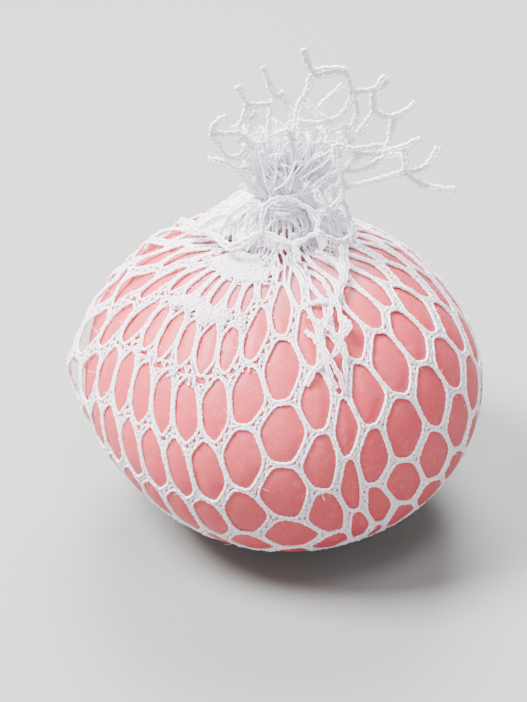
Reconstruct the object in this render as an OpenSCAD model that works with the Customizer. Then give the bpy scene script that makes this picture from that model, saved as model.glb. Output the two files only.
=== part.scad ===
// Squeeze ball: a rubber balloon filled with soft dough, held in a tube of knitted net
// that is tied under the ball and again above the balloon's knot.
// Millimetres, +Z up, origin in the middle of the face that the ball rests on, -Y is the front.

/* [Balloon] */
// Widest diameter of the balloon
ball_d = 72.6; // [58:0.2:88]
// Height of the balloon from its flat to its shoulder
ball_h = 52.6; // [43:0.2:64]
// Height of the widest ring above the flat
equator_h = 25; // [20:0.2:31]
// Diameter of the flat that the ball rests on
foot_d = 24; // [18:0.5:30]
// Wall of the balloon
skin_t = 0.8; // [0.5:0.1:1.4]
// Clearance between the balloon and its filling
fill_gap = 0.15; // [0.1:0.05:0.3]

/* [Balloon neck] */
// Outer diameter of the neck below the knot
neck_d = 6.8; // [5:0.2:9]
// Length of the neck below the knot
neck_h = 3; // [2:0.2:5]
// Diameter of the knot
knot_d = 8.6; // [7:0.2:11]
// Height of the knot
knot_h = 4; // [3:0.2:6]
// Diameter of the rolled tail above the knot
tail_d = 3.4; // [2.4:0.2:5]
// Length of the tail
tail_h = 4.4; // [3:0.2:6]

/* [Net] */
// Cells in one turn of the sleeve
sleeve_columns = 34; // [26:2:40]
// Cells from the lower tie to the upper one
sleeve_rows = 9; // [7:1:10]
// Width of a wall between two cells
strand_w = 1.5; // [1:0.1:2]
// Thickness of the net
strand_t = 1.0; // [0.6:0.1:1.6]
// Clearance between the net and what it covers
net_gap = 0.3; // [0.25:0.05:0.6]

/* [Ties] */
// Diameter of the tying thread
thread_d = 0.9; // [0.6:0.1:1.4]
// Turns of thread above the knot
tie_turns = 4; // [3:1:6]
// Diameter of the net's bunch inside the upper tie
bunch_d = 6.6; // [5.6:0.2:9]
// Diameter of the thread button under the ball
button_d = 9; // [7:0.5:13]

/* [Collar] */
// Cells in one turn of the folded collar
collar_columns = 14; // [10:2:20]
// Reach of the collar at its narrow front
collar_front = 9.5; // [8:0.5:12]
// Reach of the collar at its wide side
collar_back = 20; // [14:0.5:24]
// Height of the collar's hem above the sleeve
hem_gap = 1.2; // [0.6:0.1:2.5]

/* [Tuft] */
// Clearance between the bunch and the petals that sway above it
sway_gap = 1.9; // [1.8:0.1:3]
// Rise of the left petal above the bunch
left_rise = 22; // [16:0.5:26]
// Rise of the middle petal above the bunch
middle_rise = 29; // [22:0.5:34]
// Rise of the right petal above the bunch
right_rise = 14; // [9:0.5:19]
// Reach of the left petal
left_reach = 14; // [10:0.5:20]
// Reach of the middle petal
middle_reach = 10; // [7:0.5:15]
// Reach of the right petal
right_reach = 29; // [22:0.5:32]

/* [Strip] */
// Cells along the loose strip of net
strip_rows = 3; // [2:1:4]
// Distance between the strip's columns
strip_pitch = 3; // [2:0.1:3.6]

/* [Hidden] */
$fn = 64;
rubber_pink = "#e79ca2";
dough_cream = "#e9dcc3";
net_white = "#f3f0f5";
thread_white = "#e4e1ea";
// Radii
ball_r = ball_d / 2;
foot_r = foot_d / 2;
neck_r = neck_d / 2;
knot_r = knot_d / 2;
bunch_r = bunch_d / 2;
button_r = button_d / 2;
// Heights, from the resting face upwards
flat_z = net_gap + strand_t;
equator_z = flat_z + equator_h;
crown_h = ball_h - equator_h;
shoulder_z = flat_z + ball_h;
knot_z = shoulder_z + neck_h;
tie_z = knot_z + knot_h;
bunch_top_z = tie_z + (tie_turns + 0.5) * thread_d;
petal_z = bunch_top_z + sway_gap;
// Radius of the sleeve where it passes the knot
sleeve_neck_r = knot_r + net_gap;
// Steps of the balloon's outline in a quarter turn
outline_steps = 16;
// Half length of a rung, in columns
rung_half = 0.3;
// Shares of a wall's width by which a meeting point reaches into the rung and beyond it
meet_in = 0.15;
meet_out = 0.6;
// Widest share of a column that a wall of the net may take
widest_share = 0.3;
// Steps of the table that turns length along the sleeve into its outline's parameter
path_steps = 160;
// Cells from the neck to a petal's tip, and to the collar's hem
petal_rows = 3;
collar_rows = 2;
// Where the loose strip starts, as a share of the sleeve's length
strip_start = 0.52;
// Room between the thread of the upper tie and the collar
collar_room = 0.4;
// Powers that bend the collar's fall, and a petal's reach and rise
collar_fall = 0.75;
petal_flare = 1.3;
petal_lift = 0.9;

// ---- Outline of the balloon, offset outwards by d: a round foot, a widest ring and a shoulder ----
function foot_point(a, d) =
    [foot_r + (ball_r + d - foot_r) * cos(a), equator_z + (equator_h + d) * sin(a)];
function shoulder_point(a, d) =
    [neck_r + d + (ball_r - neck_r) * cos(a), equator_z + (crown_h + d) * sin(a)];
function outline(d) = concat(
    [for (i = [0 : outline_steps - 1]) foot_point(90 * i / outline_steps - 90, d)],
    [for (i = [0 : outline_steps]) shoulder_point(90 * i / outline_steps, d)]
);
function reversed(list) = [for (i = [len(list) - 1 : -1 : 0]) list[i]];

// ---- Path of the sleeve up one side: base, foot, shoulder and neck, one unit of t for each ----
function sleeve_r(t, d) =
    t < 1 ? button_r + net_gap + (foot_r - button_r - net_gap) * t
    : t < 2 ? foot_r + (ball_r + d - foot_r) * sin(90 * (t - 1))
    : t < 3 ? sleeve_neck_r + d + (ball_r - sleeve_neck_r) * cos(90 * (t - 2))
    : sleeve_neck_r + d;
function sleeve_z(t, d) =
    t < 1 ? flat_z - d
    : t < 2 ? equator_z - (equator_h + d) * cos(90 * (t - 1))
    : t < 3 ? equator_z + (crown_h + d) * sin(90 * (t - 2))
    : shoulder_z + d + (tie_z - net_gap - shoulder_z - d) * (t - 3);
function path_step(i) = norm([
    sleeve_r(4 * i / path_steps, flat_z) - sleeve_r(4 * (i - 1) / path_steps, flat_z),
    sleeve_z(4 * i / path_steps, flat_z) - sleeve_z(4 * (i - 1) / path_steps, flat_z)
]);
path_table = [
    for (i = 0, s = 0; i <= path_steps; i = i + 1, s = s + path_step(i)) [s, 4 * i / path_steps]
];
path_length = path_table[path_steps][0];
sleeve_pitch = path_length / sleeve_rows;

// A point at radius r, height z and azimuth a, counted from the front towards +X
function polar(r, a, z) = [r * sin(a), -r * cos(a), z];

// A point of the sleeve: column k, row v, d above the balloon
function sleeve_t(v) = lookup(min(max(v, 0), sleeve_rows) * sleeve_pitch, path_table);
function sleeve_place(k, v, d) = polar(
    sleeve_r(sleeve_t(v), d), 360 * k / sleeve_columns, sleeve_z(sleeve_t(v), d)
);
function sleeve_column(v) = 2 * PI * sleeve_r(sleeve_t(v), flat_z) / sleeve_columns;

// A point of the loose strip, which lies on the sleeve and leans to the right as it goes up
strip_low_v = strip_start * sleeve_rows;
strip_side = 22;
strip_lean = 4;
strip_foot = flat_z + net_gap;
function strip_v(v) = strip_low_v + v;
function strip_place(k, v, d) = let (t = sleeve_t(strip_v(v)), r = sleeve_r(t, strip_foot))
    polar(
        sleeve_r(t, strip_foot + d),
        strip_side + strip_lean * v + (k - 1) * strip_pitch / r * 180 / PI,
        sleeve_z(t, strip_foot + d)
    );

// A point of the collar, which leaves the upper tie and folds down over the shoulder
collar_in_r = bunch_r + thread_d + net_gap + collar_room;
collar_top_z = tie_z + (tie_turns - 1) * thread_d;
collar_turn = 30;
function collar_reach(a) = let (share = (1 - cos(a - collar_turn)) / 2)
    collar_front + (collar_back - collar_front) * share;
function shoulder_height(r) = let (x = (r - sleeve_neck_r) / (ball_r - sleeve_neck_r))
    equator_z + (crown_h + flat_z) * sqrt(1 - pow(min(max(x, 0), 1), 2));
function collar_place(k, v, d) = let (
    a = 360 * k / collar_columns,
    reach = collar_reach(a),
    share = min(max(1 - v / collar_rows, 0), 1),
    r = collar_in_r + (reach - collar_in_r) * share,
    hem_z = shoulder_height(reach) + net_gap + hem_gap
)
    polar(r + d * share, a, collar_top_z + (hem_z - collar_top_z) * pow(share, collar_fall) + d);
function collar_column(v) = 2 * PI * (collar_in_r + (collar_front - collar_in_r)
    * (1 - v / collar_rows)) / collar_columns;

// A point of a petal: a fan that leaves the bunch and bends outwards as it rises
petal_in_r = 1.9;
function petal_r(v, reach) = petal_in_r + (reach - petal_in_r) * pow(v / petal_rows, petal_flare);
function petal_place(k, v, d, cols, side, spread, reach, rise) = let (s = max(v, 0) / petal_rows)
    polar(
        petal_r(max(v, 0), reach) + d * s,
        side + spread * (k - (cols - 1) / 2) / (cols - 1),
        petal_z + rise * sin(90 * pow(s, petal_lift)) - d * (1 - s)
    );

// ---- The net: rungs in columns, each joined to the next column's rungs half a cell up and down ----
// Corners of the wall's meeting point at one end e (-1 left, 1 right) of a rung
function meeting(k, v, e, w, h) = [
    [k + e * (rung_half - meet_in * w), v + h],
    [k + e * (rung_half + meet_out * w), v],
    [k + e * (rung_half - meet_in * w), v - h]
];
function rung_id(k, j, rows) = ceil(k / 2) * (rows + 1) + floor(k / 2) * rows + j;
function quad(a, b, c, d) = [[a, b, c], [a, c, d]];
function bar(o, i) = concat(
    quad(o[0], o[1], o[2], o[3]), quad(i[3], i[2], i[1], i[0]),
    quad(o[1], o[0], i[0], i[1]), quad(o[3], o[2], i[2], i[3])
);
function cap(o, i) = quad(o[1], o[0], i[0], i[1]);
function rung_faces(p) = concat(
    [[p + 3, p + 5, p + 4], [p + 9, p + 10, p + 11], [p, p + 1, p + 2], [p + 6, p + 8, p + 7]],
    bar([p + 3, p + 9, p + 11, p + 5], [p, p + 6, p + 8, p + 2])
);
function up_bar(p, q) = bar([p + 9, q + 4, q + 5, p + 10], [p + 6, q + 1, q + 2, p + 7]);
function down_bar(p, q) = bar([p + 10, q + 3, q + 4, p + 11], [p + 7, q, q + 1, p + 8]);

// place(k, v, d) puts a point in space, column(v) is the distance between columns there
module net(place, column, pitch, thick, cols, rows, ring) {
    rungs = [for (k = [0 : cols - 1]) for (j = [0 : rows - k % 2]) [k, j]];
    points = [
        for (c = rungs)
        let (v = c[1] + (c[0] % 2) / 2)
        let (w = min(strand_w / column(v), widest_share), h = w * column(v) / pitch / 2)
        for (e = [-1, 1]) for (d = [0, thick]) for (m = meeting(c[0], v, e, w, h))
        place(m[0], m[1], d)
    ];
    faces = [
        for (c = rungs)
        let (k = c[0], j = c[1], odd = k % 2, p = 12 * rung_id(k, j, rows))
        let (next = ring ? (k + 1) % cols : k + 1)
        let (high = odd == 1 || j < rows, low = odd == 1 || j > 0)
        let (right = ring || k < cols - 1, left = ring || k > 0)
        for (f = concat(
            rung_faces(p),
            right && high ? up_bar(p, 12 * rung_id(next, j + odd, rows))
                : cap([p + 9, p + 10], [p + 6, p + 7]),
            right && low ? down_bar(p, 12 * rung_id(next, j + odd - 1, rows))
                : cap([p + 10, p + 11], [p + 7, p + 8]),
            left && high ? [] : cap([p + 4, p + 3], [p + 1, p]),
            left && low ? [] : cap([p + 5, p + 4], [p + 2, p + 1])
        )) f
    ];
    polyhedron(points, faces);
}

// ---- The balloon and what it holds ----
module filling() {
    color(dough_cream)
    rotate_extrude()
        polygon(concat(
            [[0, flat_z + skin_t + fill_gap]],
            outline(-skin_t - fill_gap),
            [[0, shoulder_z - skin_t - fill_gap]]
        ));
}

module balloon_skin() {
    color(rubber_pink)
    rotate_extrude()
        polygon(concat(
            [[0, flat_z]],
            outline(0),
            [[neck_r, knot_z], [neck_r - skin_t, knot_z]],
            reversed(outline(-skin_t)),
            [[0, flat_z + skin_t]]
        ));
}

// A fat ring with a flat under it, where it sits on the neck
module balloon_knot() {
    color(rubber_pink)
    rotate_extrude()
        intersection() {
            hull() {
                translate([knot_r - knot_h / 2, knot_z + knot_h / 2]) circle(d = knot_h);
                translate([0, knot_z]) square([neck_r, knot_h]);
            }
            translate([0, knot_z]) square([knot_r, knot_h]);
        }
}

module balloon_tail() {
    color(rubber_pink)
    translate([0, 0, tie_z])
        cylinder(d = tail_d, h = tail_h);
}

// ---- The net and its ties ----
module net_sleeve() {
    color(net_white)
    net(
        function (k, v, d) sleeve_place(k, v, net_gap + d), function (v) sleeve_column(v),
        sleeve_pitch, strand_t, sleeve_columns, sleeve_rows, true
    );
}

module base_tie() {
    color(thread_white)
    cylinder(r = button_r, h = strand_t);
}

module net_bunch() {
    color(net_white)
    translate([0, 0, tie_z])
        difference() {
            cylinder(r = bunch_r, h = bunch_top_z - tie_z);
            translate([0, 0, -1]) cylinder(d = tail_d, h = bunch_top_z - tie_z + 2);
        }
}

// One turn of thread for each ring, flat where it presses on the bunch
module neck_tie() {
    color(thread_white)
    rotate_extrude()
        translate([bunch_r, tie_z])
            union() {
                square([thread_d / 2, tie_turns * thread_d]);
                for (i = [0 : tie_turns - 1])
                    translate([thread_d / 2, (i + 0.5) * thread_d]) circle(d = thread_d, $fn = 32);
            }
}

module net_collar() {
    color(net_white)
    net(
        function (k, v, d) collar_place(k, v, d), function (v) collar_column(v),
        (collar_back - collar_in_r) / collar_rows, strand_t, collar_columns, collar_rows, true
    );
}

module net_strip() {
    color(net_white)
    net(
        function (k, v, d) strip_place(k, v, d), function (v) strip_pitch,
        sleeve_pitch, strand_t, 3, strip_rows, false
    );
}

// A fan of cells on one side of the tuft
module petal(cols, side, spread, reach, rise) {
    color(net_white)
    net(
        function (k, v, d) petal_place(k, v, d, cols, side, spread, reach, rise),
        function (v) petal_r(v, reach) * spread * PI / 180 / (cols - 1),
        norm([reach, rise]) / petal_rows, strand_t, cols, petal_rows, false
    );
}

module tuft_left() {
    petal(7, -95, 120, left_reach, left_rise);
}

module tuft_middle() {
    petal(5, 158, 56, middle_reach, middle_rise);
}

module tuft_right() {
    petal(7, 74, 84, right_reach, right_rise);
}

filling();
balloon_skin();
balloon_knot();
balloon_tail();
net_sleeve();
base_tie();
net_bunch();
neck_tie();
net_collar();
net_strip();
tuft_left();
tuft_middle();
tuft_right();
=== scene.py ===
import math

import bpy
import numpy as np
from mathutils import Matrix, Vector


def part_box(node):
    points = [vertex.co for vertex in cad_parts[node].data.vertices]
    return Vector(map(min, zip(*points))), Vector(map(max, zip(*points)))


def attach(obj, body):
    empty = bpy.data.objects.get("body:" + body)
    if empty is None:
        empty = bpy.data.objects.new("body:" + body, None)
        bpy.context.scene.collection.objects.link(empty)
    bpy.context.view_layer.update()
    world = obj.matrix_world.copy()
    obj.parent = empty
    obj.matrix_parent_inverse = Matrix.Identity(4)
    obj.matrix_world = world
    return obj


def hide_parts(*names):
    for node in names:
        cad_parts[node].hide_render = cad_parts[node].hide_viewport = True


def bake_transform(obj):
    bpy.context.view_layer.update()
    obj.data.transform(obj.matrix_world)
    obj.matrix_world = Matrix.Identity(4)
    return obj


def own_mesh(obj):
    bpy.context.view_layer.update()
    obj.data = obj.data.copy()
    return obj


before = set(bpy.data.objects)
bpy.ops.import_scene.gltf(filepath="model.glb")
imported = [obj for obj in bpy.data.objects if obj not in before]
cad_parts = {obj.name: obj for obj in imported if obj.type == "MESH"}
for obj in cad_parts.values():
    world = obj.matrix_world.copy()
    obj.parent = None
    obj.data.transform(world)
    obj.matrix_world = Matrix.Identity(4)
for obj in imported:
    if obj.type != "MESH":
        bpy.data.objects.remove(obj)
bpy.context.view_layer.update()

# ---- Camera, light and floor ----
# A desk-top product shot: the ball stands on a plain pale board under a big window-like
# lamp at the upper left, with a weak lamp on the right and pale light all round.
MM = 0.001
SKIN_LOW, SKIN_HIGH = (np.array(corner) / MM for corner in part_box("balloon_skin"))
BALL_R = SKIN_HIGH[0]
FLAT_Z = SKIN_LOW[2]
RING_Z = FLAT_Z + 25.0
VIEW_RISE = math.radians(32.5)
VIEW_DISTANCE = 0.645

lens = bpy.data.cameras.new("camera")
lens.sensor_width = 36
lens.lens = 179.5
lens.shift_x = -0.0249
lens.shift_y = 0.0342
lens.clip_end = 20
camera = bpy.data.objects.new("camera", lens)
camera.location = (
    0,
    -VIEW_DISTANCE * math.cos(VIEW_RISE),
    RING_Z * MM + VIEW_DISTANCE * math.sin(VIEW_RISE),
)
camera.rotation_euler = (math.pi / 2 - VIEW_RISE, 0, 0)
bpy.context.scene.collection.objects.link(camera)
bpy.context.scene.camera = camera


def linear(code):
    """sRGB hex to linear RGBA: the low part is a straight line, the rest a power of 2.4."""
    part = np.array([int(code[i : i + 2], 16) for i in (1, 3, 5)]) / 255
    part = np.where(part <= 0.04045, part / 12.92, ((part + 0.055) / 1.055) ** 2.4)
    return (*part.tolist(), 1.0)


def lamp(name, place, aim, size, power, tint):
    """A square lamp at place, turned to face aim."""
    data = bpy.data.lights.new(name, "AREA")
    data.size = size
    data.energy = power
    data.color = linear(tint)[:3]
    made = bpy.data.objects.new(name, data)
    made.location = place
    turn = np.array(aim) - np.array(place)
    flat = math.hypot(turn[0], turn[1])
    made.rotation_euler = (math.atan2(flat, -turn[2]), 0, math.atan2(turn[1], turn[0]) - math.pi / 2)
    bpy.context.scene.collection.objects.link(made)


lamp("window_lamp", (-0.62, -0.05, 0.95), (0, 0, 0.03), 0.45, 76, "#FFFDFD")
lamp("back_lamp", (0.0, 0.75, 0.8), (0, 0, 0.05), 0.6, 34, "#FDFDFF")
lamp("front_lamp", (0.1, -0.3, 1.15), (0, 0, 0.06), 0.4, 10, "#FAFBFF")
lamp("side_lamp", (0.8, -0.2, 0.45), (0, 0, 0.03), 0.6, 1.2, "#F4F6FF")
# A soft spot on the net that stands up, which would otherwise be in its own shade
SPOT_X, SPOT_Y, SPOT_Z = -0.06, -0.62, 0.42
SPOT_AIM_X, SPOT_AIM_Z = 0.008, 0.082
spot_data = bpy.data.lights.new("tuft_spot", "SPOT")
spot_data.energy = 82
spot_data.spot_size = math.radians(8.5)
spot_data.spot_blend = 1.0
spot_data.shadow_soft_size = 0.09
spot_data.color = linear("#F8FAFF")[:3]
tuft_spot = bpy.data.objects.new("tuft_spot", spot_data)
tuft_spot.location = (SPOT_X, SPOT_Y, SPOT_Z)
heading = math.atan2(-SPOT_Y, SPOT_AIM_X - SPOT_X)
tuft_spot.rotation_euler = (math.atan2(-SPOT_Y, SPOT_Z - SPOT_AIM_Z), 0, heading - math.pi / 2)
bpy.context.scene.collection.objects.link(tuft_spot)
world = bpy.data.worlds.new("pale_room")
world.use_nodes = True
world.node_tree.nodes["Background"].inputs["Color"].default_value = linear("#F3F1F4")
world.node_tree.nodes["Background"].inputs["Strength"].default_value = 0.28
bpy.context.scene.world = world


def set_inputs(material, node, values):
    """Sets a node's sockets, by name or number, each to a value or to a socket that is linked to it."""
    for name, value in values.items():
        if isinstance(value, bpy.types.NodeSocket):
            material.node_tree.links.new(value, node.inputs[name])
        else:
            node.inputs[name].default_value = value


def add_node(material, kind, inputs=None, **settings):
    """A shader node with its settings and inputs."""
    made = material.node_tree.nodes.new(kind)
    for name, value in settings.items():
        setattr(made, name, value)
    set_inputs(material, made, inputs or {})
    return made


def new_material(name):
    """An empty node material with its output, and the shader that goes into it."""
    made = bpy.data.materials.new(name)
    made.use_nodes = True
    made.node_tree.nodes.clear()
    shader = add_node(made, "ShaderNodeBsdfPrincipled")
    add_node(made, "ShaderNodeOutputMaterial", {"Surface": shader.outputs[0]})
    return made, shader


def noise(material, where, scale, detail):
    """Cloudy noise from 0 to 1; scale is in clouds for each metre."""
    inputs = {"Vector": where, "Scale": scale, "Detail": detail}
    return add_node(material, "ShaderNodeTexNoise", inputs).outputs[0]


def bumped(material, height, strength, depth=0.0001):
    """A normal from a height socket; depth is the height's whole range in metres."""
    inputs = {"Height": height, "Strength": strength, "Distance": depth}
    return add_node(material, "ShaderNodeBump", inputs).outputs[0]


def make_piece(name, points, quads, triangles, material, places=None):
    """A smooth mesh from whole arrays: points in millimetres, faces as rows of point numbers,
    and for each face corner its place on the surface in millimetres."""
    mesh = bpy.data.meshes.new(name)
    corners = np.concatenate([quads.ravel(), triangles.ravel()]).astype(np.int32)
    starts = np.concatenate(
        [4 * np.arange(len(quads)), 4 * len(quads) + 3 * np.arange(len(triangles))]
    ).astype(np.int32)
    mesh.vertices.add(len(points))
    mesh.vertices.foreach_set("co", (points * MM).astype(np.float32).ravel())
    mesh.loops.add(len(corners))
    mesh.loops.foreach_set("vertex_index", corners)
    mesh.polygons.add(len(starts))
    mesh.polygons.foreach_set("loop_start", starts)
    mesh.update(calc_edges=True)
    mesh.polygons.foreach_set("use_smooth", np.ones(len(starts), bool))
    if places is not None:
        layer = mesh.uv_layers.new(name="along_yarn")
        layer.uv.foreach_set("vector", (places * MM).astype(np.float32).ravel())
    mesh.materials.append(material)
    mesh.validate()
    made = bpy.data.objects.new(name, mesh)
    bpy.context.scene.collection.objects.link(made)
    return made


floor_paint, shader = new_material("matt_white_lacquered_board")
# Sprayed lacquer on board: nearly white, soft sheen, a faint orange-peel of about 1.5 mm.
ground = add_node(floor_paint, "ShaderNodeTexCoord").outputs["Object"]
peel = bumped(floor_paint, noise(floor_paint, ground, 650.0, 2.0), 0.08)
set_inputs(floor_paint, shader, {"Base Color": linear("#7F817E"), "Roughness": 0.55, "Normal": peel})
FLOOR_HALF = 2500.0
floor_corners = FLOOR_HALF * np.array([[-1, -1, 0], [1, -1, 0], [1, 1, 0], [-1, 1, 0]])
no_triangles = np.zeros((0, 3), int)
floor = make_piece("floor", floor_corners, np.array([[0, 1, 2, 3]]), no_triangles, floor_paint)

# ---- Latex balloon with its dough ----
# A thin pink latex balloon stuffed with soft dough and knotted at its neck. It was dipped on a
# form, so it is smooth; the net that holds it sinks into it and lets it swell through each cell.
FOOT_R = 12.0
NECK_R = 3.4
SLEEVE_NECK_R = 4.6
BUTTON_R = 4.5
KNOT_LOW, KNOT_HIGH = (np.array(corner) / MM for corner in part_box("balloon_knot"))
SHOULDER_Z = KNOT_LOW[2] - 3.0
CROWN_H = SHOULDER_Z - RING_Z
# The net: its cells round the ball, their height, and where column 0 and row 0 are
COLUMNS = 34
FIRST_COLUMN = -8
ROW = 11.25
ROW_ZERO_S = 10.0
# How far skin and yarn lie outside the outline, and the yarn's radius
SKIN_LIFT = 0.58
YARN_LIFT = 0.85
YARN_R = 0.27
# A whole turn, in radians
TURN = 2 * math.pi


def unit(vectors):
    """Each vector divided by its length."""
    return vectors / np.maximum(np.linalg.norm(vectors, axis=-1, keepdims=True), 1e-12)


def smooth_step(value, low, high):
    """0 below low, 1 above high, and 3x squared minus 2x cubed between them."""
    share = np.clip((value - low) / (high - low), 0, 1)
    return share * share * (3 - 2 * share)


def hump(azimuth, s, middle, width):
    """A bell around a place on the ball: e to minus the squared distance, in widths."""
    turn = (azimuth - middle[0] + 180) % 360 - 180
    return np.exp(-((turn / width[0]) ** 2) - ((s - middle[1]) / width[1]) ** 2)


def outline_table(radii, heights, rounding):
    """One side's outline by length from the widest ring: radius, height and outward normal.
    The corners are rounded by a running average that is rounding millimetres wide."""
    steps = np.hypot(np.diff(radii), np.diff(heights))
    along = np.concatenate([[0], np.cumsum(steps)])
    fine = np.arange(0, along[-1], 0.1)
    window = int(rounding / 0.1) | 1
    rounded = []
    for values in (radii, heights):
        values = np.interp(fine, along, values)
        mirrored = np.pad(values, window // 2, mode="reflect", reflect_type="odd")
        rounded.append(np.convolve(mirrored, np.ones(window) / window, mode="valid"))
    r, z = rounded
    r = np.maximum(r, 0)
    dr, dz = np.gradient(r, 0.1), np.gradient(z, 0.1)
    size = np.hypot(dr, dz)
    ring = fine[np.argmax(r)]
    return {"s": fine - ring, "r": r, "z": z, "nr": dz / size, "nz": -dr / size}


quarter = np.linspace(0, math.pi / 2, 200)


def ball_outline(start_r, neck_r, top_z, rounding):
    """A quarter ellipse up from the flat foot and another up to the neck, which ends at top_z."""
    low_r = FOOT_R + (BALL_R - FOOT_R) * np.sin(quarter)
    high_r = neck_r + (BALL_R - neck_r) * np.cos(quarter[1:])
    low_z = RING_Z - (RING_Z - FLAT_Z) * np.cos(quarter)
    high_z = RING_Z + CROWN_H * np.sin(quarter[1:])
    radii = np.concatenate([[start_r], low_r, high_r, [neck_r]])
    return outline_table(radii, np.concatenate([[FLAT_Z], low_z, high_z, [top_z]]), rounding)


skin_outline = ball_outline(0, NECK_R, KNOT_LOW[2] + 1.5, 2.5)
sleeve_outline = ball_outline(BUTTON_R - 1.5, SLEEVE_NECK_R, KNOT_HIGH[2] - 1.0, 7.0)
S_LOW, S_HIGH = sleeve_outline["s"][[0, -1]]


def dents(azimuth, s):
    """Millimetres by which the hand-set dough lies outside (+) or inside (-) a round ball."""
    return (
        -2.4 * hump(azimuth, s, (-68, -19), (34, 14))
        - 1.2 * hump(azimuth, s, (-36, -32), (30, 10))
        - 1.3 * hump(azimuth, s, (108, 16), (30, 12))
        - 0.9 * hump(azimuth, s, (145, 28), (30, 10))
        - 0.5 * hump(azimuth, s, (-150, 20), (30, 12))
    )


def about_axis(r, angle, z):
    """Points at radius r and height z, at an angle from the front towards +X."""
    return np.stack(np.broadcast_arrays(r * np.sin(angle), -r * np.cos(angle), z), -1)


def on_ball(outline, azimuth, s, lift):
    """The point and the outward normal at an azimuth in degrees from the front towards +X and a
    length s up the side, lift millimetres outside the outline and its dents."""
    azimuth, s = np.broadcast_arrays(azimuth, s)
    around = np.radians(azimuth)
    r, z, nr, nz = (np.interp(s, outline["s"], outline[key]) for key in ("r", "z", "nr", "nz"))
    lift = lift + dents(azimuth, s)
    point = about_axis(np.maximum(r + nr * lift, 0), around, z + nz * lift)
    return point, about_axis(nr, around, nz)


def sleeve_r(s):
    """The sleeve's radius at a length up the side."""
    return np.interp(s, sleeve_outline["s"], sleeve_outline["r"])


def column_azimuth(u):
    """Azimuth of column u: straight lines between the columns where the net's stretch changes."""
    turns = np.floor((u - FIRST_COLUMN) / COLUMNS)
    knots = [-8, -1, 0, 1, 3, 4, 6, 7, 26]
    at = [-72.4, -11.5, 0.5, 12.5, 25.5, 36, 60, 73, 287.6]
    return 360 * turns + np.interp(u - COLUMNS * turns, knots, at)


def row_shift(u):
    """Rows by which the net sags at column u; it closes on itself four rows lower."""
    knots, at = [-7, -2, -0.5, 3, 7, 27], [2.65, 0.17, 0, 0, -1, -1.35]
    total = 0
    for nudge in (-0.5, 0, 0.5):
        turns = np.floor((u + nudge + 7) / COLUMNS)
        total = total + np.interp(u + nudge - COLUMNS * turns, knots, at) - 4 * turns
    return total / 3


def net_place(u, v):
    """Azimuth and length up the side of the net at column u and row v: the column's azimuth, a
    lean that grows with height on the right, and wider cells low down in front."""
    s = np.clip(ROW_ZERO_S + ROW * (v + row_shift(u)), S_LOW, S_HIGH)
    around = u % COLUMNS
    azimuth = column_azimuth(u)
    leaning = smooth_step(around, 2, 4.5) * (1 - smooth_step(around, 17, 24))
    azimuth = azimuth + 3.3 * leaning * (s - 3) / ROW
    low = smooth_step(-s, 0, 18)
    azimuth = azimuth + 14 * low * np.sin(np.radians(column_azimuth(u) + 15))
    # The knitting's own unevenness, about a third of a millimetre
    azimuth = azimuth + 22 / (sleeve_r(s) + 6) * np.sin(1.9 * s + 5.1 * u) * np.cos(0.7 * s - 2.3 * u)
    s = s + 0.4 * np.sin(2.9 * u + 0.35 * s) + 0.25 * np.cos(7.7 * u - 1.1 * v)
    return azimuth, s


def wall_distance(u, v, column):
    """Millimetres from a place on the net to the nearest wall: the smallest of the distances to
    the six sides of the cell that holds it, where a cell is a flat-topped hexagon."""
    best = np.full(np.broadcast(u, v).shape, -1e3)
    first = np.floor(u)
    for step in (-1, 0, 1, 2):
        k = first + step
        odd = (k % 2) / 2
        du = np.abs(u - k)
        dv = v - odd
        dv = np.abs(dv - np.round(dv))
        slant = column * ROW * (0.35 - 0.5 * du - 0.4 * dv) / np.hypot(0.5 * ROW, 0.4 * column)
        best = np.maximum(best, np.minimum((0.5 - dv) * ROW, slant))
    return np.maximum(best, 0)


def ranged(material, value, before, after, **settings):
    """Value brought from the range before, as (low, high), to the range after."""
    inputs = {"Value": value, "From Min": before[0], "From Max": before[1]}
    inputs.update({"To Min": after[0], "To Max": after[1]})
    return add_node(material, "ShaderNodeMapRange", inputs, **settings).outputs[0]


def mixed(material, share, first, second):
    """The colour a share of the way from first to second; each is a hex code or a socket."""
    first, second = (linear(colour) if isinstance(colour, str) else colour for colour in (first, second))
    return add_node(material, "ShaderNodeMix", {0: share, 6: first, 7: second}, data_type="RGBA").outputs[2]


latex, shader = new_material("dipped_latex_satin_pink")
# Dipped natural rubber: satin, a little light goes into it; the dough shows through as soft
# clouds, and dust and specks of talc lie on it.
place = add_node(latex, "ShaderNodeTexCoord").outputs["Object"]
clouds = noise(latex, place, 55.0, 3.0)
grain = noise(latex, place, 900.0, 4.0)
specks = add_node(latex, "ShaderNodeTexVoronoi", {"Vector": place, "Scale": 230.0, "Randomness": 1.0})
is_speck = ranged(latex, specks.outputs["Distance"], (0.05, 0.09), (0.55, 0.0))
cloudy = mixed(latex, clouds, "#B93C46", "#C64E58")
powdered = mixed(latex, ranged(latex, grain, (0.52, 0.8), (0.0, 0.22)), cloudy, "#DE8A92")
speckled = mixed(latex, is_speck, powdered, "#A03A40")
# Towards the neck, above about 50.5 mm, the skin colour is mixed towards a paler, greyer pink
height = add_node(latex, "ShaderNodeSeparateXYZ", {"Vector": place}).outputs["Z"]
paler_towards_neck = mixed(latex, ranged(latex, height, (0.0505, 0.056), (0.0, 0.75)), speckled, "#BC9298")
set_inputs(
    latex,
    shader,
    {
        "Base Color": paler_towards_neck,
        "Roughness": ranged(latex, clouds, (0.3, 0.7), (0.44, 0.58)),
        "Normal": bumped(latex, grain, 0.12),
        "Subsurface Weight": 0.4,
        "Subsurface Radius": (1.0, 0.4, 0.35),
        "Subsurface Scale": 0.003,
        "IOR": 1.5,
        "Specular IOR Level": 0.3,
    },
)

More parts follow.
